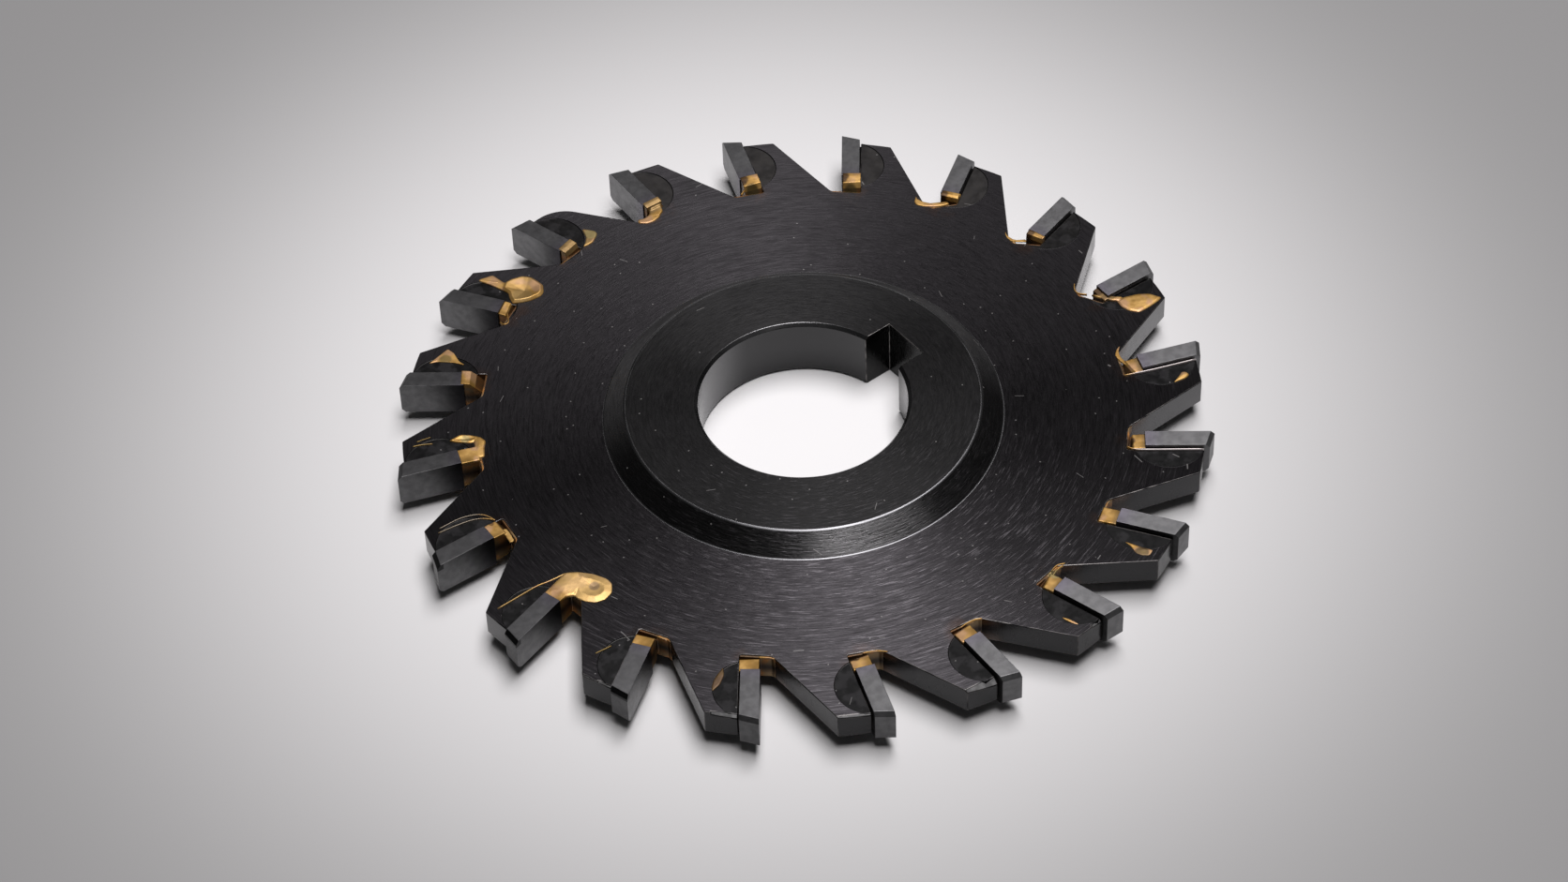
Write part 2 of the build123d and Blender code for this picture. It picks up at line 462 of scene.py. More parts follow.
def addSpotFaceCutters():
    thickness = 2
    drop = tooth["plateTop"] - tooth["middle"] - tooth["spotDepth"] + thickness / 2
    x, y = tooth["spotCentre"]
    spots = []
    for number in range(1, tooth["count"] + 1):
        for side in (-1, 1):
            bpy.ops.object.select_all(action="DESELECT")
            bpy.ops.mesh.primitive_cylinder_add(
                vertices=body["spotFacets"], radius=tooth["spotRadius"], depth=thickness,
                location=(x, y, tooth["middle"] + side * drop))
            spot = bpy.context.object
            spots.append(turnedCopy(spot, "spotFace", 0))
            bpy.data.objects.remove(spot)
            spots[-1].rotation_euler.z = toothAngle(number)
            bpy.ops.object.transform_apply()
    return join(spots, "spotFaceCutters")


def addLandGrinders():
    # wedges that take the land's upper edge off at a slant
    land, top, room = tooth["landRadius"], tooth["plateTop"], body["grinderRoom"]
    wedges = []
    for number, start, end, width, lean in groundLands:
        outline = [(land + room, top - width - room), (land + room, top + room),
                   (land - width - room, top + room)]
        wedge = addOutline("landGrinder", outline, upright=True)
        extrude(wedge, (0, (start - end) / 2, 0), (0, end - start, 0))
        pick(wedge, "VERT", lambda vertex: True)
        bpy.ops.transform.rotate(value=radians(lean), orient_axis="Z",
                                 center_override=(land - width / 2, 0, top))
        bpy.ops.object.mode_set(mode="OBJECT")
        middle = (start + end) / 2 / land
        wedges.append(turnedCopy(wedge, "landWedge", toothAngle(number) + middle))
        bpy.data.objects.remove(wedge)
    return join(wedges, "landWedges")


def breakEdges(blank, edgeFinish):
    # sharp edges are rounded a little, those of the spot faces less, and short upright ones not
    for small, offset in ((False, body["edgeBreak"]), (True, body["spotEdgeBreak"])):
        pick(blank, "EDGE", lambda part: False)
        bpy.ops.mesh.edges_select_sharp(sharpness=radians(body["sharp"]))
        bpy.ops.object.mode_set(mode="OBJECT")
        points = blank.data.vertices
        for part in blank.data.edges:
            if part.select:
                one, other = (points[v].co for v in part.vertices)
                onSpot = all(abs(fromSpot(p) - tooth["spotRadius"]) < 0.02 for p in (one, other))
                upright = hypot(*(one - other).xy) < 0.01 and abs(one.z - other.z) < 1
                part.select = onSpot == small and not upright
        bpy.ops.object.mode_set(mode="EDIT")
        bpy.ops.mesh.bevel(offset=offset, segments=2, profile=0.5, affect="EDGES",
                           clamp_overlap=False, material=-1 if small else edgeFinish)
        bpy.ops.object.mode_set(mode="OBJECT")


def addBody(finishes):
    blank = addBlank()
    finishBlank(blank, finishes)
    cut(blank, addGulletCutters(), finishes, "milled")
    half, floor = body["keywayHalf"], body["keywayFloor"]
    keyway = addOutline("keyway", [(0, -half), (floor, -half), (floor, half), (0, half)])
    cut(blank, drawUp(keyway, -1, body["hubTop"] + 1), finishes, "milled")
    cut(blank, addSpotFaceCutters(), finishes, "spotFaced")
    cut(blank, addLandGrinders(), finishes, "bared")
    breakEdges(blank, list(finishes).index("rubbed"))
    smoothFaces(blank)
    return blank


# a carbide tip, ground all over
tip = {"endRelief": 12.0, "cornerChamfer": 0.6, "edgeBreak": 0.06}

# How much more of a tip shows before the filler begins; below nought, filler laps over its end
tipShown = {19: 0.35, 18: 0.6, 17: 0.5, 16: 0.4, 15: 0.2, 11: 0.2,
            1: -0.2, 2: -0.5, 3: -0.4, 4: -0.4, 5: -0.35, 6: -0.4, 8: -0.45}


def addTip():
    thick, half = tooth["tipThickness"], tooth["tipHalfWidth"]
    slope = tan(radians(tooth["rake"] + tip["endRelief"]))
    length = tooth["tipLength"]
    outline = [alongTip(0, 0), alongTip(length, 0), alongTip(length, thick),
               alongTip(thick * slope, thick)]
    block = drawUp(addOutline("tip", outline), tooth["middle"] - half, tooth["middle"] + half)
    points = block.data.vertices

    def isOuterCorner(part):
        one, other = (points[v].co for v in part.vertices)
        outer = min(hypot(*one.xy), hypot(*other.xy)) > tooth["cuttingRadius"] - 1
        return outer and abs(one.z - other.z) < 0.01

    pick(block, "EDGE", isOuterCorner)
    bpy.ops.mesh.bevel(offset=tip["cornerChamfer"], segments=1, affect="EDGES")
    bpy.ops.mesh.select_all(action="SELECT")
    bpy.ops.mesh.bevel(offset=tip["edgeBreak"], segments=2, affect="EDGES")
    bpy.ops.object.mode_set(mode="OBJECT")
    smoothFaces(block)
    return block


# braze filler
braze = {
    "poolEnd": 3.25, "poolTopDrop": 0.4, "poolSlope": 0.1, "poolEndHeight": 0.6,
    "poolOverlap": 0.05, "leastReach": 0.45, "kneeRoom": 0.1, "rakeSetBack": 0.2, "sideDrop": 0.15,
    "lapLength": 0.2, "lapThickness": 0.08, "lapDrop": 0.05, "coatThickness": 0.3,
    "coatClimb": 0.9, "coatSink": 0.08, "jointStart": 1.4, "jointOverlap": 0.2,
    "jointRecess": 0.45, "spillFoot": 0.1, "cornerRound": 0.3, "beadFoot": 0.3, "grain": 0.08,
    "smoothing": 3, "rippleHeight": 0.04, "rippleSize": 1.2, "keep": 0.3,
}

# How far each pool's top reaches in, along the rake face and along the seat
poolReach = {
    1: (1.6, 0.7), 2: (1.2, 1.2), 3: (2.2, 2.0), 4: (2.2, 2.0), 5: (1.9, 1.5),
    6: (1.4, 1.4), 7: (1.2, 1.0), 8: (1.4, 1.5), 9: (2.9, 3.0), 10: (2.1, 2.1),
    11: (2.5, 2.5), 12: (2.1, 2.1), 13: (2.3, 2.2), 14: (2.3, 1.9), 15: (2.2, 2.0),
    16: (2.3, 1.6), 17: (3.0, 3.0), 18: (1.9, 1.8), 19: (1.9, 1.2), 20: (1.4, 0.8),
}

# Filler that ran out over the plate, by tooth: outline and its rim's height, then where it has
# them the border's width and height, and the middle's place and height, all in the tooth's
# frame and above the plate
spills = {
    1: [([(50.5, 2.1), (50.0, 1.3), (49.9, 0.1), (50.2, -0.6), (51.2, -1.5), (50.9, -2.0),
          (49.9, -0.8), (49.4, 0.0), (49.5, 1.0), (50.1, 1.9)], 0.05)],
    2: [([(51.0, 2.7), (50.4, 2.4), (50.1, 1.3), (50.2, 0.0), (50.9, -1.2), (51.6, -2.4),
          (51.2, -3.0), (50.4, -2.1), (49.6, -0.8), (49.1, 0.6), (49.0, 1.9), (49.6, 2.5)],
         0.08, 0.15, 0.15),
        ([(54.6, -3.4), (53.8, -3.9), (52.0, -4.0), (52.2, -3.3), (53.6, -3.1)], 0.08)],
    5: [([(53.2, -1.7), (53.2, -3.8), (51.6, -3.8), (51.4, -1.7)], 0.3, 0.15, 0.4),
        ([(52.2, -1.8), (52.0, -3.8), (50.3, -3.3), (49.7, -2.3), (50.3, -0.9), (51.4, -1.4)],
         0.1, 0.15, 0.22),
        ([(50.3, -3.0), (49.5, -2.3), (49.0, -1.0), (49.1, 0.2), (49.9, 1.4), (50.7, 1.1),
          (50.4, 0.2), (50.6, -0.7), (51.2, -1.4)], 0.08, 0.15, 0.2)],
    6: [([(53.9, -7.3), (52.9, -7.9), (51.9, -8.4), (51.2, -8.1), (50.4, -6.3), (50.6, -5.0),
          (50.9, -4.4), (51.2, -5.2), (52.0, -6.3), (53.0, -6.8)], 0.08, 0.15, 0.2)],
    7: [([(54.9, -7.9), (54.3, -9.0), (53.0, -10.3), (51.5, -10.6), (50.0, -10.1), (49.0, -9.7),
          (48.2, -8.2), (48.3, -7.3), (49.3, -5.8), (50.5, -4.8), (51.7, -4.2), (52.6, -5.0),
          (53.3, -6.0), (54.6, -6.3)], 0.1, 0.45, 0.5, (51.2, -7.4, 0.05)),
        ([(59.0, -6.7), (58.8, -7.2), (57.4, -8.7), (56.2, -8.3), (55.1, -7.9), (53.6, -8.0),
          (53.4, -6.1), (54.8, -6.3), (57.0, -6.6)], 0.1, 0.2, 0.18, (56.0, -7.4, 0.3))],
    8: [([(58.9, -5.8), (58.5, -6.2), (56.4, -9.2), (55.3, -8.4), (54.3, -6.8), (53.2, -5.9),
          (55.0, -6.3), (57.5, -6.3)], 0.06, 0, 0, (56.3, -7.4, 0.65))],
    9: [([(48.9, -1.9), (48.6, -3.9), (48.2, -5.2), (49.0, -6.3), (50.1, -6.0), (50.0, -4.6),
          (50.2, -3.9), (50.6, -1.9)], 0.1, 0.2, 0.22, (49.3, -4.6, 0.3)),
        ([(49.0, -6.2), (50.2, -6.9), (51.8, -7.4), (53.7, -6.5), (52.8, -6.0), (50.5, -5.2),
          (49.8, -5.4)], 0.1, 0.3, 0.25, (51.4, -6.3, 0.02))],
    10: [([(50.8, 0.7), (50.0, 0.7), (49.9, -0.6), (49.9, -2.2), (50.6, -2.2), (50.7, -0.9)],
          0.05)],
    11: [([(52.4, -1.2), (50.6, -1.0), (49.8, -0.3), (47.5, -1.0), (46.0, -3.0), (47.5, -4.5),
           (50.2, -4.3), (52.4, -4.0)], 0.15, 0.3, 0.32, (49.3, -2.6, 0.42)),
         ([(50.0, 0.2), (49.7, 1.6), (48.9, 2.9), (47.5, 3.6), (45.9, 3.4), (44.6, 2.2),
           (44.4, 0.9), (45.0, -1.2), (46.2, -3.2), (48.5, -2.6), (49.8, -0.8)],
          0.15, 1.1, 0.32, (46.7, 0.6, 0.1))],
    13: [([(56.8, -7.4), (56.0, -7.6), (54.4, -7.4), (53.0, -6.8), (52.0, -6.3), (53.6, -6.0),
           (55.4, -6.4)], 0.04, 0.15, 0.1)],
    16: [([(59.2, -6.2), (58.9, -6.5), (57.5, -6.8), (56.3, -6.8), (57.2, -6.4), (58.4, -6.2)],
          0.06)],
    17: [([(59.2, -6.4), (59.1, -7.6), (58.0, -8.1), (57.0, -8.0), (55.9, -7.0), (54.6, -6.4),
           (57.4, -6.5)], 0.03, 0, 0, (57.8, -6.9, 0.1))],
    19: [([(59.2, -6.3), (58.9, -5.6), (58.2, -5.4), (57.5, -6.2), (56.3, -7.4), (57.3, -7.2),
           (58.4, -6.9)], 0.06, 0.15, 0.2, (58.2, -6.2, 0.26)),
         ([(50.6, 2.4), (50.0, 1.3), (49.9, 0.3), (50.2, -0.8), (51.2, -2.2), (52.2, -3.3),
           (52.0, -3.9), (51.3, -3.2), (50.0, -1.6), (49.4, -0.3), (49.2, 0.5), (49.8, 1.7)],
          0.05)],
    20: [([(60.1, -7.9), (59.2, -8.3), (57.2, -8.7), (55.3, -8.9), (54.1, -7.7), (53.6, -6.3),
           (53.7, -4.9), (55.1, -4.8), (57.3, -5.3), (58.9, -6.2)], 0.1, 0.35, 0.24,
          (56.6, -7.0, 0.3)),
         ([(55.0, -4.7), (54.0, -5.2), (53.2, -4.6), (52.3, -3.8), (51.3, -2.4), (51.0, -1.6),
           (52.6, -2.7), (53.8, -3.8)], 0.1, 0.15, 0.26)],
}

# Thin lines of filler, by tooth: width, points, and height above the plate where it isn't the usual
beads = {
    4: [(0.3, [(53.0, -2.9), (51.2, -1.7), (49.8, -0.6)])],
    7: [(0.22, [(51.4, -1.9), (50.9, -1.0), (50.4, -0.4), (50.5, 0.3), (51.1, 0.6), (51.6, 0.2)])],
    9: [(0.22, [(59.2, -6.6), (58.0, -6.8), (56.2, -6.5)]),
        (0.14, [(58.5, -7.4), (57.5, -7.7), (56.3, -7.9)])],
    10: [(0.15, [(59.0, -6.6), (57.0, -6.6), (54.5, -6.5), (52.8, -6.2), (51.5, -5.5),
                 (50.8, -4.8)]),
         (0.15, [(58.5, -7.3), (56.5, -7.5), (54.8, -7.6), (53.3, -7.3), (52.0, -6.8), (51.0, -5.8),
                 (50.6, -4.5)])],
    11: [(0.22, [(47.6, -4.5), (50.0, -5.1), (52.0, -6.0), (54.5, -6.4), (59.0, -7.2)])],
    12: [(0.18, [(49.9, 0.4), (49.8, -1.2)]), (0.2, [(56.2, -8.1), (55.2, -7.4), (54.0, -6.6)])],
    13: [(0.18, [(49.9, 0.9), (49.7, 0.0), (49.8, -1.4)])],
    14: [(0.2, [(50.2, 1.6), (49.7, 0.6), (49.6, -0.8), (49.6, -2.0)])],
    15: [(0.2, [(49.9, 1.0), (49.5, 0.2), (49.5, -1.5), (49.8, -2.6)])],
    16: [(0.18, [(50.1, 1.7), (49.5, 1.0), (49.35, 0.0), (49.6, -0.8)]),
         (0.24, [(50.1, 1.2), (49.9, 0.2), (50.2, -1.2), (50.9, -2.6), (51.1, -3.8)])],
    18: [(0.22, [(61.0, -3.4), (57.0, -3.75), (53.0, -4.1), (50.3, -4.3), (49.5, -3.8)], 0.3)],
    19: [(0.22, [(61.0, -3.4), (57.0, -3.75), (53.0, -4.1), (49.4, -4.2)], 0.3)],
    20: [(0.18, [(50.2, 1.8), (49.6, 1.0), (49.4, 0.2), (49.8, -0.6), (50.6, -1.2)])],
}


def addPool(number):
    # the block under the tip's inner end: its top slopes in, then drops to the gullet floor
    kind = gulletKind(number)
    half, tipEnd = tooth["tipHalfWidth"], tooth["tipLength"]
    low = half - braze["poolTopDrop"]
    shown = tipShown.get(number, 0)
    inner, end = tipEnd - braze["poolOverlap"] + shown, tipEnd + braze["poolEnd"]
    if kind == "webbed":
        end -= tooth["webHeight"]
    if kind == "shallow":
        end -= tooth["shallowRise"]
    knee = inner + 1  # until poolReach moves it, on each side
    if shown < 0:
        over = half + braze["lapThickness"]
        upper = [(inner, over), (tipEnd + braze["lapLength"], over),
                 (knee, half - braze["lapDrop"])]
    else:
        upper = [(inner, low), (knee, low - braze["poolSlope"])]
    upper.append((end, braze["poolEndHeight"]))
    lower = [(inward, -height) for inward, height in reversed(upper)]
    depth = tooth["tipThickness"] + tooth["joint"] - braze["rakeSetBack"]
    pool = extrude(addOutline("pool", upper + lower, upright=True),
                   (0, -braze["rakeSetBack"], tooth["middle"]), (0, -depth, 0))
    for vertex in pool.data.vertices:
        inward, back = vertex.co.x, -vertex.co.y
        if abs(inward - knee) < 0.01:
            reach = poolReach[number][0 if back < 1 else 1]
            inward = min(inner + max(reach, braze["leastReach"] - shown),
                         end - braze["kneeRoom"])
        vertex.co.xy = alongTip(inward, back)
    return pool


def addCoat(kind):
    # a skin on the gullet floor that climbs the flank a little
    floor, middle = gulletFloor(kind), tooth["middle"]
    flankCorner = Vector(floor[-1][:2])
    climb = (Vector(heelPoint()) - flankCorner).normalized() * braze["coatClimb"]
    path = [corner[:2] for corner in floor] + [tuple(flankCorner + climb)]
    shifted = [(x + braze["coatThickness"], y) for x, y in reversed(path[:-1])]
    sunk = [(x - braze["coatSink"], y) for x, y in path[:-1]]
    side = tooth["plateTop"] - middle - braze["sideDrop"]
    return drawUp(addOutline("coat", [*sunk, path[-1], *shifted]), middle - side, middle + side)


def addJoint():
    # the sunk layer of filler between the tip and its seat
    sunk, back = braze["jointRecess"], tooth["tipThickness"]
    inner, outer = tooth["tipLength"] + braze["jointOverlap"], braze["jointStart"] + sunk
    seat = back + tooth["joint"]
    outline = [alongTip(outer, back), alongTip(inner, back), alongTip(inner, seat),
               alongTip(outer, seat)]
    side = tooth["plateTop"] - tooth["middle"] - tooth["spotDepth"] - sunk
    return drawUp(addOutline("joint", outline), tooth["middle"] - side, tooth["middle"] + side)


def addSpill(outline, rim, border=0, borderHeight=0, middle=None):
    top = tooth["plateTop"]
    flat = addOutline("spill", outline)
    pick(flat, "VERT", lambda vertex: True)
    bpy.ops.mesh.bevel(offset=braze["cornerRound"], segments=3, affect="VERTICES",
                       clamp_overlap=True)
    spill = drawUp(flat, top - tooth["spotDepth"] - braze["spillFoot"], top + rim)
    pick(spill, "FACE", lambda face: face.normal.z > 0.9)
    if border:
        bpy.ops.mesh.inset(thickness=border)
        bpy.ops.transform.translate(value=(0, 0, borderHeight - rim))
    if middle:
        bpy.ops.mesh.poke()
        bpy.ops.object.mode_set(mode="OBJECT")
        out, along, height = middle
        spill.data.vertices[-1].co = (out, along, top + height)
    alone(spill)
    return spill


def addBead(width, points, rise=0.12):
    # a narrow wall of filler with a round top, that stands this high above the plate
    line = bpy.data.curves.new("bead", "CURVE")
    line.dimensions = "3D"
    line.twist_mode = "Z_UP"
    line.fill_mode = "FULL"
    line.bevel_depth = width / 2
    line.bevel_resolution = 2
    line.extrude = (rise + braze["beadFoot"] - width) / 2
    line.use_fill_caps = True
    line.resolution_u = 8
    spline = line.splines.new("NURBS")
    spline.points.add(len(points) - 1)
    for point, (out, along) in zip(spline.points, points):
        point.co = (out, along, tooth["plateTop"] + (rise - braze["beadFoot"]) / 2, 1)
    spline.order_u = 3
    spline.use_endpoint_u = True
    bead = bpy.data.objects.new("bead", line)
    bpy.context.collection.objects.link(bead)
    alone(bead)
    bpy.ops.object.convert(target="MESH")
    pick(bead, "VERT", lambda vertex: True)
    bpy.ops.mesh.remove_doubles(threshold=0.001)
    bpy.ops.mesh.normals_make_consistent(inside=False)
    alone(bead)
    return bead


def addBraze(number, ripples):
    # everything but the sunk joint and the beads is melted into one skin
    parts = [addPool(number), addCoat(gulletKind(number))]
    parts += [addSpill(*spill) for spill in spills.get(number, [])]
    filler = join(parts, "filler")
    addModifier(filler, "REMESH", mode="VOXEL", voxel_size=braze["grain"])
    addModifier(filler, "SMOOTH", factor=0.5, iterations=braze["smoothing"])
    filler.rotation_euler.z = toothAngle(number)
    alone(filler)
    bpy.ops.object.transform_apply()
    addModifier(filler, "DISPLACE", texture=ripples, texture_coords="GLOBAL", mid_level=0.5,
                strength=braze["rippleHeight"])
    addModifier(filler, "DECIMATE", ratio=braze["keep"])
    rest = join([addJoint(), *(addBead(*bead) for bead in beads.get(number, []))], "rest")
    filler = join([filler, turnedCopy(rest, "restTurned", toothAngle(number))], "filler")
    bpy.data.objects.remove(rest)
    alone(filler)
    bpy.ops.object.shade_smooth()
    return filler


# the finishes' colours: red, green and blue
colours = {
    "glint": (0.14, 0.132, 0.142), "groove": (0.012, 0.011, 0.012), "dust": (0.35, 0.34, 0.33),
    "heatTint": (0.06, 0.030, 0.017), "milledFloorReflection": (0.16, 0.16, 0.163),
    "milledDark": (0.032, 0.032, 0.033), "milledSheen": (0.08, 0.08, 0.081),
    "milledHeat": (0.085, 0.036, 0.012), "nearBlack": (0.012, 0.012, 0.012),
    "bore": (0.045, 0.045, 0.046), "boreLitSide": (0.16, 0.16, 0.164),
    "spotBlack": (0.004, 0.004, 0.0042), "spotRubbed": (0.016, 0.0155, 0.0165),
    "spotBackSheen": (0.034, 0.032, 0.031), "edge": (0.10, 0.10, 0.105),
    "edgeDark": (0.02, 0.02, 0.021), "edgeBright": (0.55, 0.52, 0.5),
    "rim": (0.13, 0.13, 0.135), "rimBackPaintedLight": (0.45, 0.45, 0.46), "rimSidePaintedLight": (0.2, 0.2, 0.205),
    "rimFrontPaintedLight": (0.12, 0.12, 0.125), "rimBorePaintedShade": (0.02, 0.02, 0.02), "bared": (0.5, 0.5, 0.5),
    "baredDark": (0.30, 0.30, 0.30), "carbide": (0.2, 0.2, 0.2), "gold": (0.72, 0.48, 0.2),
    "deepGold": (0.39, 0.22, 0.055), "paleGold": (0.50, 0.30, 0.09), "blush": (0.44, 0.26, 0.13),
    "brightGold": (0.64, 0.43, 0.17), "duskyGold": (0.25, 0.14, 0.032),
    "sootyGold": (0.14, 0.09, 0.035), "greyGold": (0.22, 0.15, 0.07),
    "tan": (0.20, 0.13, 0.06), "rust": (0.32, 0.14, 0.035), "darkBrown": (0.015, 0.008, 0.004),
    "cornerBrown": (0.03, 0.014, 0.006), "silver": (0.60, 0.55, 0.54),
    "jointBlack": (0.008, 0.006, 0.005), "moss": (0.17, 0.12, 0.035),
    "darkMoss": (0.055, 0.04, 0.013), "olive": (0.30, 0.24, 0.10), "brown": (0.14, 0.07, 0.025),
    "burnt": (0.045, 0.022, 0.008), "pink": (0.27, 0.18, 0.10), "umber": (0.04, 0.024, 0.013),
    "dullGold": (0.34, 0.22, 0.08), "grey": (0.19, 0.18, 0.155), "paleGrey": (0.5, 0.47, 0.42),
}

# turning marks: how fine they are around the axis and across, and the tooth nearest the camera
brushed = {
    "around": 10, "across": 2.8, "fineAround": 22, "fineAcross": 8.0, "glintAround": 13,
    "glintAcross": 5.0, "metallic": 0.86, "frontTooth": 14.0,
}

# The sheen of each turned face is painted into its base colour, as tones for the front, beside it,
# the side and the back, and the front's own middle and reach are given with them
turnedFaces = {
    "plate": {"black": (0.0370, 0.0346, 0.0378), "anisotropy": 0.8, "roughness": (0.35, 0.59),
              "relief": 0.00014, "paintedSheenTones": (0.98, 0.53, 1.0, 0.66), "sheenTooth": 12.65,
              "sheenReach": (0.05, 0.26), "dullness": 0.05, "glinting": (0.62, 0.08)},
    "cone": {"black": (0.0362, 0.0358, 0.0364), "anisotropy": 0.85, "roughness": (0.24, 0.42),
             "relief": 0.00012, "paintedSheenTones": (2.4, 0.4, 3.1, 0.9), "sheenTooth": 14.5,
             "sheenReach": (0.002, 0.04), "dullness": 0.08, "glinting": (0.4, 0.1)},
    "hub": {"black": (0.0362, 0.0358, 0.0364), "anisotropy": 0.35, "roughness": (0.34, 0.44),
            "relief": 0.00003, "paintedSheenTones": (0.46, 0.56, 0.44, 0.64), "sheenTooth": 14.0,
            "sheenReach": (0.12, 0.25), "dullness": 0.0, "glinting": (0.2, 0.06)},
}

# Flecks on the steel: cells to a millimetre, the share of them that hold one, and half its size
wear = {
    "dustDensity": 0.45, "dustShare": 0.07, "dustSize": 0.12, "scratchDensity": 0.16,
    "scratchShare": 0.1, "scratchLength": 0.7, "scratchWidth": 0.06, "strength": 0.4,
    "scuffEnd": 0.1,
}

# Single scuffs on the steel: tooth, then from and to (outward, along) in its frame, and half width
scuffs = [(18, (50.6, -5.3), (51.9, -6.7), 0.10), (18, (58.6, -6.4), (58.7, -7.6), 0.12),
          (18, (56.3, -4.5), (57.4, -5.1), 0.10), (19, (47.6, -1.2), (48.0, -1.7), 0.16),
          (1, (54.7, -9.4), (54.5, -10.4), 0.09), (13, (48.2, 3.4), (47.9, 5.0), 0.09),
          (12, (51.9, -4.6), (50.9, -6.6), 0.10), (16, (53.2, 5.4), (53.0, 6.4), 0.10),
          (11, (46.4, 3.7), (46.2, 4.9), 0.08), (3, (52.2, -4.2), (51.4, -4.6), 0.12)]


def fromTooth(number, out, along):
    # a point in a tooth's frame, as x and y of the cutter
    angle = toothAngle(number)
    return out * cos(angle) - along * sin(angle), out * sin(angle) + along * cos(angle)


def alongScuff(x, y, number, start, end, halfWidth):
    # 1 on the scuff, 0 away from it
    (x1, y1), (x2, y2) = fromTooth(number, *start), fromTooth(number, *end)
    length = hypot(x2 - x1, y2 - y1)
    stepX, stepY = (x2 - x1) / length, (y2 - y1) / length
    forward = (x - x1) * stepX + (y - y1) * stepY
    sideways = abs((y - y1) * stepX - (x - x1) * stepY)
    within = abs(forward - length / 2).fade(length / 2 - wear["scuffEnd"], length / 2, 1.0, 0.0)
    return sideways.fade(halfWidth * 0.5, halfWidth, 1.0, 0.0) * within


def wearMarks(here, x, y):
    # dust, short scratches and the single scuffs
    size = wear["dustSize"]
    dust = here.flecks(wear["dustDensity"], wear["dustShare"], size, size)
    scratches = here.flecks(wear["scratchDensity"], wear["scratchShare"],
                            wear["scratchLength"], wear["scratchWidth"])
    marks = here.maths("MAXIMUM", dust, scratches)
    for scuff in scuffs:
        marks = here.maths("MAXIMUM", marks, alongScuff(x, y, *scuff))
    return marks


def behindRake(out, along):
    return (out - tooth["cuttingRadius"]) * sin(rake) - along * cos(rake)


def towards(x, y, number):
    # 1 on the side of that tooth, -1 on the other side
    angle = toothAngle(number)
    return (x * cos(angle) + y * sin(angle)) / wireLength(x, y)


def turnedSteel(name):
    face = turnedFaces[name]
    front, beside, side, back = [[part * tone for part in face["black"]] + [1]
                                 for tone in face["paintedSheenTones"]]
    smoothest, roughest = face["roughness"]
    material, shader, here, x, y, z = newMaterial(f"blackenedTurned_{name}", {
        "Base Color": front, "Metallic": brushed["metallic"], "Roughness": roughest,
        "Anisotropic": face["anisotropy"], "Anisotropic Rotation": 0.25})
    radius = wireLength(x, y)
    depth = radius - z

    def streaks(around, across, offset, detail):
        # noise that is drawn out around the axis
        place = vector(x / radius * brushed[around], y / radius * brushed[around],
                       depth * brushed[across] + offset)
        return place.noise(1.0, detail, 0.6)

    height = (streaks("around", "across", 0.0, 3.0) * 0.6
              + streaks("fineAround", "fineAcross", 0.0, 2.0) * 0.4)
    feed(shader, "Normal", here.node("ShaderNodeBump", {}, {
        "Strength": 1.0, "Distance": face["relief"], "Height": height}))
    patches = here.noise(0.12, 3.0).fade(0.3, 0.7, -0.02, 0.02)
    behind = (1 - towards(x, y, brushed["frontTooth"])) * 0.5
    fromSheen = (1 - towards(x, y, face["sheenTooth"])) * 0.5
    feed(shader, "Roughness", height.fade(0.36, 0.64, smoothest, roughest) + patches
         + behind * face["dullness"])
    # painted sheen: the base colour is lighter or darker by where the face lies from the camera
    colour = here.mix(fromSheen.fade(*face["sheenReach"]), front, beside)
    colour = here.mix(behind.fade(0.39, 0.67), colour, side)
    colour = here.mix(behind.fade(0.73, 0.97), colour, back)
    # painted highlight: glints are lighter streaks in the base colour, strongest at the front where
    # the sheen shows
    glints = streaks("glintAround", "glintAcross", 40.0, 4.0)
    glinting = behind.fade(0.1, 0.4, *face["glinting"])
    colour = here.mix(glints.fade(0.55, 0.68) * glinting, colour, "glint")
    colour = here.mix(glints.fade(0.30, 0.46, 0.6, 0.0), colour, "groove")
    out, along = placeInTooth(x, y)
    fromPool = wireLength(out - 51.0, along + 2.2)
    tint = fromPool.fade(1.6, 4.0, 1.0, 0.0) * here.noise(0.35, 2.0).fade(0.4, 0.65)
    colour = here.mix(tint * 0.4, colour, "heatTint")
    marks = wearMarks(here, x, y)
    feed(shader, "Metallic", marks.fade(0.0, 1.0, brushed["metallic"], 0.2))
    feed(shader, "Base Color", here.mix(marks * wear["strength"], colour, "dust"))
    return material


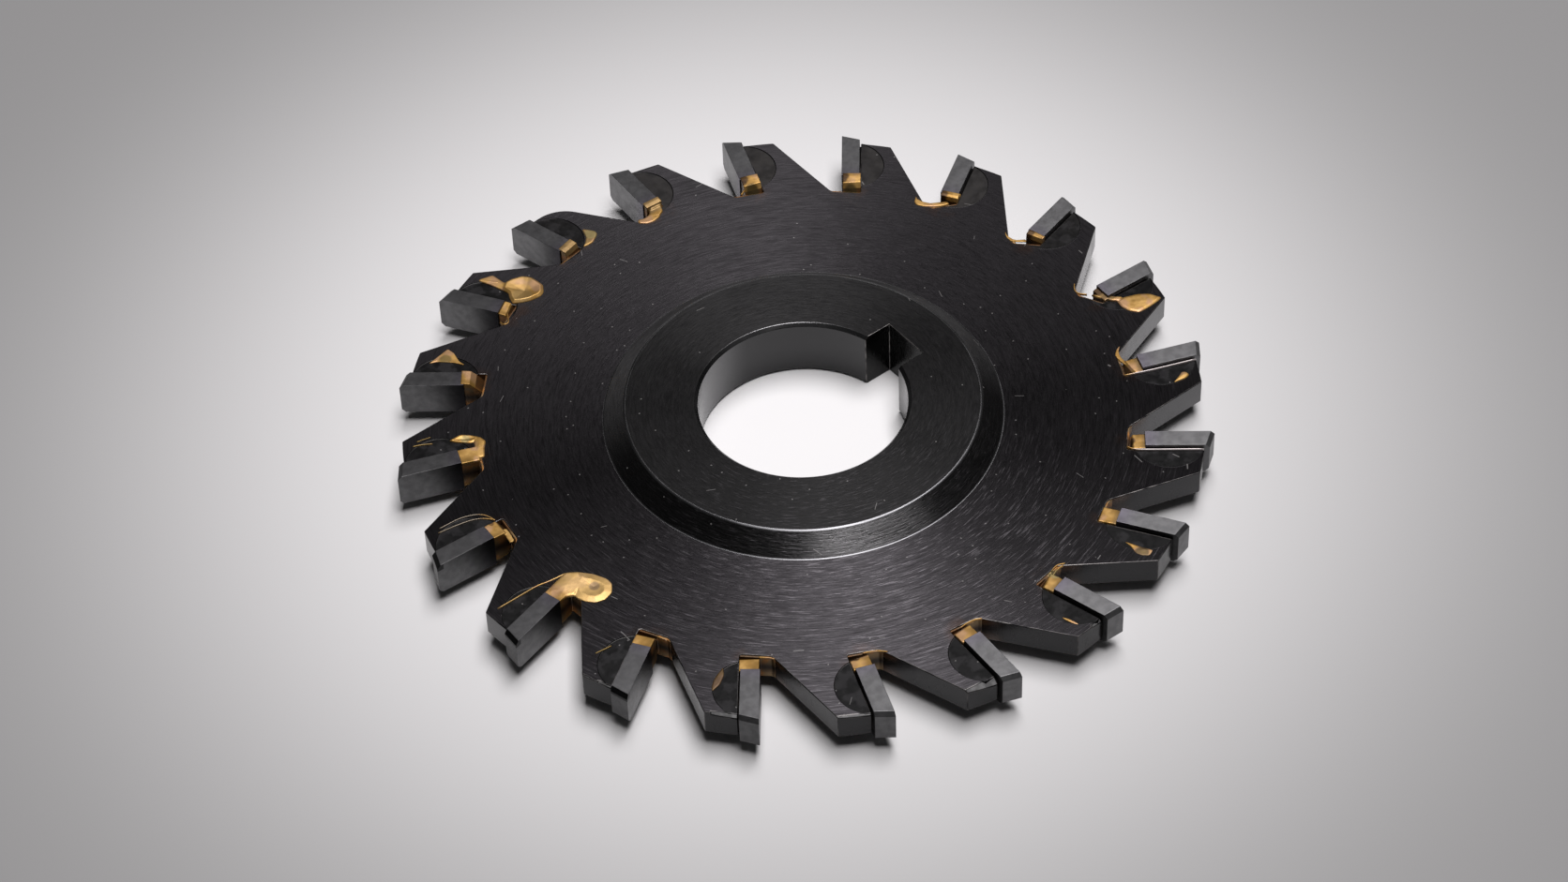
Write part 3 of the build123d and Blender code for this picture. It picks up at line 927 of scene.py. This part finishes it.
def milledSteel():
    material, shader, here, x, y, z = newMaterial("blackenedMilledSteel", {
        "Base Color": "milledFloorReflection", "Metallic": 0.85, "Roughness": 0.24})
    marks = vector(x * 0.8, y * 0.8, z * 0.3).noise(1.0, 2.0)
    feed(shader, "Roughness", marks.fade(0.3, 0.7, 0.20, 0.28))
    # painted reflection: the milled faces are painted pale on the side of tooth 1.3, where they
    # reflect the pale floor, and dark on the other side
    plain = here.mix(towards(x, y, 1.3).fade(0.2, 0.95), "milledDark", "milledFloorReflection")
    # painted shade: the keyway, deep in the bore, is painted near black
    inKeyway = (x * x + y * y).fade(500, 600, 1.0, 0.0)  # by the square of the radius
    plain = here.mix(inKeyway, plain, "nearBlack")
    # painted sheen: the milled faces by tooth 10.6 are painted lighter
    plain = here.mix(towards(x, y, 10.6).fade(0.985, 0.995), plain, "milledSheen")
    # heat from the brazing on the gullet floors, least in the middle
    out = placeInTooth(x, y)[0]
    fromMiddle = abs(z - tooth["middle"])
    heat = out.fade(50.2, 52.6, 1.0, 0.0) * out.fade(40, 45) * fromMiddle.fade(0.3, 2.1, 0.15, 1.0)
    feed(shader, "Metallic", heat.fade(0.0, 0.6, 0.85, 0.1))
    feed(shader, "Base Color", here.mix(heat, plain, "milledHeat"))
    return material


def boredSteel():
    material, shader, here, x, y, z = newMaterial("groundBore", {
        "Base Color": "bore", "Metallic": 0.8, "Roughness": 0.2})
    marks = vector(x * 0.3, y * 0.3, z * 4.0).noise(1.0, 3.0)
    feed(shader, "Roughness", marks.fade(0.3, 0.7, 0.16, 0.26))
    # painted light: the bore wall is painted paler on the side of tooth 8.4, which faces the light
    left = towards(x, y, 8.4).fade(0.5, 1.0)
    feed(shader, "Base Color", here.mix(left, "bore", "boreLitSide"))
    return material


def spotFacedSteel():
    material, shader, here, x, y = newMaterial("blackenedSpotFace", {
        "Base Color": "spotBlack", "Roughness": 0.34, "Specular IOR Level": 0.14})[:5]
    marks = here.noise(1.2, 3.0)
    feed(shader, "Roughness", marks.fade(0.3, 0.7, 0.28, 0.42))
    patches = here.noise(0.4, 3.0).fade(0.35, 0.65, 0.5, 1.0)
    # painted sheen: the spot faces are painted paler towards the back of the cutter (tooth 3.2), in
    # random patches
    backSheen = towards(x, y, 3.2).fade(0.6, 0.95) * patches
    rubbedOff = here.noise(0.45, 3.0).fade(0.48, 0.62)
    plain = here.mix(backSheen, here.mix(rubbedOff, "spotBlack", "spotRubbed"), "spotBackSheen")
    scuffed = wearMarks(here, x, y) * wear["strength"]
    feed(shader, "Base Color", here.mix(scuffed, plain, "dust"))
    return material


def wornEdge():
    material, shader, here, x, y = newMaterial("rubbedEdge", {
        "Base Color": "edge", "Metallic": 1.0, "Roughness": 0.35})[:5]
    out, along = placeInTooth(x, y)
    fromSeat = abs(behindRake(out, along) - 3.15)
    seat = fromSeat.fade(0.2, 0.4, 0.4, 0.0) * towards(x, y, 18.5).fade(0.62, 0.85)
    nearFloor = out.fade(52, 55.5, 0.25, 0.1)
    rubbedOff = here.noise(0.5, 2.0).fade(0.3, 0.6) * nearFloor
    worn = here.mix(here.maths("MAXIMUM", rubbedOff, seat), "edgeDark", "edgeBright")
    spotOut, spotAlong = tooth["spotCentre"]
    fromRing = abs(wireLength(out - spotOut, along - spotAlong) - tooth["spotRadius"])
    onRing = fromRing.fade(0.15, 0.3, 0.85, 0.0)
    feed(shader, "Base Color", here.mix(onRing, worn, "nearBlack"))
    return material


def turnedRim():
    material, shader, here, x, y = newMaterial("turnedRimPaintedLight", {
        "Base Color": "rim", "Metallic": 1.0, "Roughness": 0.3})[:5]
    feed(shader, "Roughness", here.noise(0.15, 2.0).fade(0.3, 0.7, 0.24, 0.32))
    front = towards(x, y, brushed["frontTooth"])
    # painted highlight and shade: the rims are painted brightest at the back, paler at the sides,
    # darker at the front
    rim = here.mix(front.fade(-0.9, -0.4), "rimBackPaintedLight", "rimSidePaintedLight")
    rim = here.mix(front.fade(0.4, 0.8), rim, "rimFrontPaintedLight")
    # painted shade: near the bore, its chamfers are painted near black
    atBore = (x * x + y * y).fade(300, 400, 0.6, 0.0)  # by the square of the radius
    feed(shader, "Base Color", here.mix(atBore, rim, "rimBorePaintedShade"))
    return material


def baredSteel():
    material, shader, here = newMaterial("baredSteel", {
        "Base Color": "bared", "Metallic": 1.0, "Roughness": 0.5})[:3]
    marks = here.noise(0.9, 3.0).fade(0.35, 0.6)
    feed(shader, "Base Color", here.mix(marks, "baredDark", "bared"))
    return material


# Painted light: the tips are painted lighter on one side of the cutter and darker on the other
carbideShade = {"base": 0.108, "swing": 0.45, "brightTooth": 18.8}


def groundCarbide():
    material, shader, here, x, y, z = newMaterial("groundCarbide", {
        "Base Color": "carbide", "Metallic": 1.0, "Roughness": 0.45})
    # painted light: lighter towards the bright tooth, darker on the far side
    tone = towards(x, y, carbideShade["brightTooth"]) * carbideShade["swing"] + 1
    clouds = here.noise(0.8, 4.0).fade(0.3, 0.7, 0.85, 1.15)
    out, along = placeInTooth(x, y)
    # painted shade: the tip's back face is painted darker, most on the teeth around tooth 15.6
    dark = towards(x, y, 15.6).fade(0.7, 0.92, 0.9, 0.3)
    fromRake = behindRake(out, along)
    behind = fromRake.fade(2.84, 2.89, 1.0, dark)
    # painted reflection and shade: the rake face is painted lighter, for the floor it reflects, and
    # darker near the gullet on the teeth around tooth 9.5
    shadeAndSoot = towards(x, y, 9.5).fade(0.1, 0.6) * out.fade(53.0, 58.5, -0.85, 0.0) + 1
    rakeTone = here.maths("MULTIPLY_ADD", fromRake.fade(0.02, 0.06, 1.0, 0.0), shadeAndSoot * 1.9 - 1, 1.0)
    # painted shade: a dark band on the upper part of the tip's outer end, on the teeth around tooth
    # 11
    endBand = out.fade(61.3, 61.5) * z.fade(6.75, 6.85) * z.fade(7.84, 7.87, 1.0, 0.0)
    endTone = endBand * towards(x, y, 11.0).fade(0.86, 0.94) * -0.8 + 1
    grey = tone * clouds * behind * rakeTone * endTone * carbideShade["base"]
    plain = here.node("ShaderNodeCombineColor", {}, {0: grey, 1: grey, 2: grey * 1.02})
    tinted = here.node("ShaderNodeCombineColor", {}, {0: grey, 1: grey * 0.92, 2: grey * 1.12})
    feed(shader, "Base Color", here.mix(out.fade(52.0, 55.5, 0.8, 0.0), plain, tinted))
    feed(shader, "Roughness", here.noise(6.0, 3.0).fade(0.3, 0.7, 0.38, 0.5))
    return material


# Stains on the filler: tooth, outward, along, radius, colour
stains = [
    (4, 52.4, -1.4, 1.1, "burnt"), (4, 50.2, -2.6, 1.3, "darkMoss"),
    (4, 51.7, -1.3, 0.7, "burnt"), (3, 52.3, -1.3, 1.0, "burnt"),
    (3, 51.6, -1.2, 0.8, "burnt"), (3, 49.9, -2.6, 1.3, "darkMoss"),
    (2, 52.3, -1.3, 1.1, "burnt"), (2, 51.6, -1.4, 0.8, "burnt"),
    (6, 52.0, -7.3, 1.3, "olive"), (1, 52.3, -1.3, 1.2, "burnt"),
    (20, 52.2, -1.5, 1.4, "burnt"), (18, 49.9, -2.6, 0.9, "burnt"),
    (17, 57.8, -7.5, 1.4, "darkMoss"), (16, 50.4, -1.0, 1.2, "olive"),
    (15, 50.9, -0.6, 0.8, "brown"), (14, 50.4, -3.2, 0.8, "burnt"),
    (13, 54.4, -6.8, 3.4, "umber"), (12, 55.5, -7.6, 2.4, "moss"),
    (11, 46.7, 0.6, 1.0, "pink"), (11, 56.0, -6.8, 4.0, "dullGold"),
    (10, 55.5, -7.2, 4.6, "grey"), (10, 51.5, -3.9, 0.5, "brown"),
    (9, 58.0, -7.2, 2.4, "moss"), (9, 51.2, -6.2, 0.9, "olive"),
    (9, 51.4, 1.0, 1.6, "paleGrey"), (8, 51.0, 0.6, 1.6, "paleGrey"),
    (8, 56.4, -6.9, 1.2, "moss"), (7, 51.0, -6.2, 2.0, "dullGold"),
]


def brazeGold():
    material, shader, here, x, y, z = newMaterial("brazeGold", {
        "Base Color": "gold", "Metallic": 0.6, "Roughness": 0.42})
    patches = here.noise(0.5, 2.0, 0.5)
    gold = here.mix(patches.fade(0.4, 0.6), "deepGold", "paleGold")
    gold = here.mix(here.noise(0.35, 2.0).fade(0.5, 0.64), gold, "blush")
    out, along = placeInTooth(x, y)
    bright = towards(x, y, 10.8).fade(0.9, 0.98, 0.0, 0.6) * out.fade(49.5, 51.0, 1.0, 0.0)
    gold = here.mix(bright, gold, "brightGold")
    # the pools are dusky beside the rake face, and in places at the tip's end
    onPool = along.fade(-4.5, -4.2)
    dusky = along.fade(-2.9, -1.5) * out.fade(50.2, 51.0) * onPool
    gold = here.mix(dusky, gold, "duskyGold")
    shadeAndSoot = out.fade(51.3, 52.2) * towards(x, y, 18.0).fade(0.5, 0.9) * onPool
    gold = here.mix(shadeAndSoot * 0.85, gold, "sootyGold")
    dull = towards(x, y, 5.5).fade(0.93, 0.98, 0.0, 0.7) * out.fade(50.4, 51.2)
    gold = here.mix(dull, gold, "greyGold")
    # on the gullet floors the filler is brown, darkest in the middle and the corner
    fromMiddle = abs(z - tooth["middle"])
    warm = here.mix(patches.fade(0.42, 0.58), "tan", "rust")
    brown = here.mix(fromMiddle.fade(0.0, 1.7), "darkBrown", warm)
    brown = here.mix(along.fade(-1.8, -0.8, 0.75, 0.0), brown, "cornerBrown")
    colour = here.mix(fromMiddle.fade(2.02, 2.13), brown, gold)
    for number, outward, side, size, stain in stains:
        stainX, stainY = fromTooth(number, outward, side)
        stained = wireLength(x - stainX, y - stainY).fade(size * 0.6, size, 0.85, 0.0)
        colour = here.mix(stained, colour, stain)
    behind = behindRake(out, along)
    ridge = behind.fade(3.05, 3.15) * behind.fade(3.9, 4.1, 1.0, 0.0) * out.fade(49.0, 52.8)
    ridge = ridge * towards(x, y, 18.5).fade(0.93, 0.97)
    colour = here.mix(ridge, colour, "silver")
    joint = behind.fade(2.84, 2.9) * out.fade(52.7, 53.0) * fromMiddle.fade(1.9, 2.0, 1.0, 0.0)
    feed(shader, "Base Color", here.mix(joint, colour, "jointBlack"))
    feed(shader, "Roughness", patches.fade(0.3, 0.7, 0.38, 0.48))
    return material


# the camera, as the photo was taken
cameraPlace = {"azimuth": -36.529, "elevation": 46.171, "roll": -2.351, "distance": 0.637955,
               "aim": (-0.004897, -0.001367, 0.005), "lens": 96.27}


def addCamera():
    turn, rise, roll = (radians(cameraPlace[k]) for k in ("azimuth", "elevation", "roll"))
    ahead = Vector((-sin(turn) * cos(rise), cos(turn) * cos(rise), -sin(rise)))
    level = Vector((cos(turn), sin(turn), 0))
    upright = level.cross(ahead)
    across = cos(roll) * level + sin(roll) * upright
    upward = -sin(roll) * level + cos(roll) * upright
    bpy.ops.object.camera_add()
    camera = bpy.context.object
    camera.name = "photoCamera"
    camera.data.lens = cameraPlace["lens"]
    camera.data.sensor_width = 36
    place = Matrix((across, upward, -ahead)).transposed().to_4x4()
    place.translation = Vector(cameraPlace["aim"]) - cameraPlace["distance"] * ahead
    camera.matrix_world = place
    bpy.context.scene.camera = camera


# floor and light; a pool of light is painted on the floor, falling off in an ellipse seen from the
# camera's side
stage = {
    "floorSize": 8, "softboxWatts": 29, "softboxPlace": (0.228, -0.02, 1.5),
    "softboxWidth": 0.65, "softboxDepth": 1.4, "room": 0.03, "farTone": 0.2554,
    "lightPoolTone": 0.54, "middle": (-5.1, 8.1), "spread": (96.7, 99.1), "steepness": 1.56,
    "tint": (1.019, 0.990, 1.003), "farStart": 130, "farEnd": 400, "backdrop": 0.29,
    "horizon": 0.1, "boreLightTone": 0.06, "boreFade": (12, 17),
}
backdrop = [stage["backdrop"] * part for part in stage["tint"]] + [1]
cameraTurn = radians(cameraPlace["azimuth"])


def floorMaterial():
    material, shader, here, x, y = newMaterial("paleFloor", {
        "Base Color": (0.8, 0.8, 0.8, 1), "Roughness": 0.9})[:5]
    across = x * cos(cameraTurn) + y * sin(cameraTurn) - stage["middle"][0]
    away = y * cos(cameraTurn) - x * sin(cameraTurn) - stage["middle"][1]
    across, away = across / stage["spread"][0], away / stage["spread"][1]
    # painted light: the floor's colour is lightest in the middle and falls off in an ellipse, as a
    # pool of light
    lightPool = here.maths("EXPONENT", ((across * across + away * away) ** stage["steepness"]) * -1.0)
    far = wireLength(x, y)
    # painted light: the floor in the bore is painted lighter
    inBore = far.fade(*stage["boreFade"], stage["boreLightTone"], 0.0)
    tone = lightPool * stage["lightPoolTone"] + stage["farTone"] + inBore
    grey = here.node("ShaderNodeCombineColor", {}, {0: tone, 1: tone, 2: tone})
    feed(shader, "Base Color", grey)
    # far off, the eye and the steel see the floor in its own plain tone, past the lamp's reach
    path = here.node("ShaderNodeLightPath", output="Is Camera Ray")
    seen = path + path.other("Is Glossy Ray") + path.other("Is Transmission Ray")
    glow = here.node("ShaderNodeEmission", {}, {"Color": backdrop, "Strength": 1.0})
    blend = here.node("ShaderNodeMixShader", {}, {
        0: far.fade(stage["farStart"], stage["farEnd"]) * seen,
        1: Wire(here.tree, shader.outputs[0]), 2: glow})
    feed(here.tree.nodes["Material Output"], "Surface", blend)
    return material


def addWorld():
    # a dark room with a pale backdrop up to a little above the horizon
    world = bpy.data.worlds.new("room")
    bpy.context.scene.world = world
    world.use_nodes = True
    wire = Wire(world.node_tree)
    up = wire.node("ShaderNodeTexCoord", output="Generated")
    height = wire.node("ShaderNodeSeparateXYZ", {}, {0: up}).other("Z")
    colour = wire.mix(height.fade(stage["horizon"] * 0.5, stage["horizon"]), backdrop,
                      [stage["room"]] * 3 + [1])
    feed(world.node_tree.nodes["Background"], "Color", colour)


def addStage():
    bpy.ops.mesh.primitive_plane_add(size=stage["floorSize"])
    floor = bpy.context.object
    floor.name = "floor"
    floor.data.materials.append(floorMaterial())
    bpy.ops.object.light_add(type="AREA", location=stage["softboxPlace"])
    lamp = bpy.context.object
    away = Vector(stage["softboxPlace"]).normalized()
    across = Vector((cos(cameraTurn), sin(cameraTurn), 0))
    back = away.cross(across).normalized()
    lamp.rotation_euler = Matrix((back.cross(away), back, away)).transposed().to_euler()
    lamp.name = "overheadSoftbox"
    lamp.data.energy = stage["softboxWatts"]
    lamp.data.color = stage["tint"]
    lamp.data.shape = "RECTANGLE"
    lamp.data.size = stage["softboxWidth"]
    lamp.data.size_y = stage["softboxDepth"]
    lamp.visible_camera = False
    addWorld()


bodyFinishes = {
    "turned": turnedSteel("plate"), "coned": turnedSteel("cone"), "hubGround": turnedSteel("hub"),
    "milled": milledSteel(), "spotFaced": spotFacedSteel(), "rubbed": wornEdge(),
    "bored": boredSteel(), "bared": baredSteel(), "rimmed": turnedRim(),
}
cutterBody = addBody(bodyFinishes)
settle(cutterBody, "cutterBody", "cutter_body")
print("body cut,", len(cutterBody.data.polygons), "faces")

carbide = groundCarbide()
pattern = addTip()
for number in range(1, tooth["count"] + 1):
    copy = turnedCopy(pattern, "tipCopy", 0)
    for vertex in copy.data.vertices:
        if vertex.co.x < tooth["cuttingRadius"] - tooth["tipLength"] + 1:
            vertex.co.x -= max(tipShown.get(number, 0), 0)
    copy.rotation_euler.z = toothAngle(number)
    settle(copy, f"carbideTip_{number:02d}", f"tip_{number:02d}", carbide)
bpy.data.objects.remove(pattern)
print("tips in place")

gold = brazeGold()
ripples = bpy.data.textures.new("ripples", "CLOUDS")
ripples.noise_scale = braze["rippleSize"]
for number in range(1, tooth["count"] + 1):
    filler = addBraze(number, ripples)
    settle(filler, f"brazeFiller_{number:02d}", f"braze_{number:02d}", gold)
print("braze run in")

addCamera()
addStage()
bpy.context.scene.view_settings.view_transform = "Standard"
print("stage set")
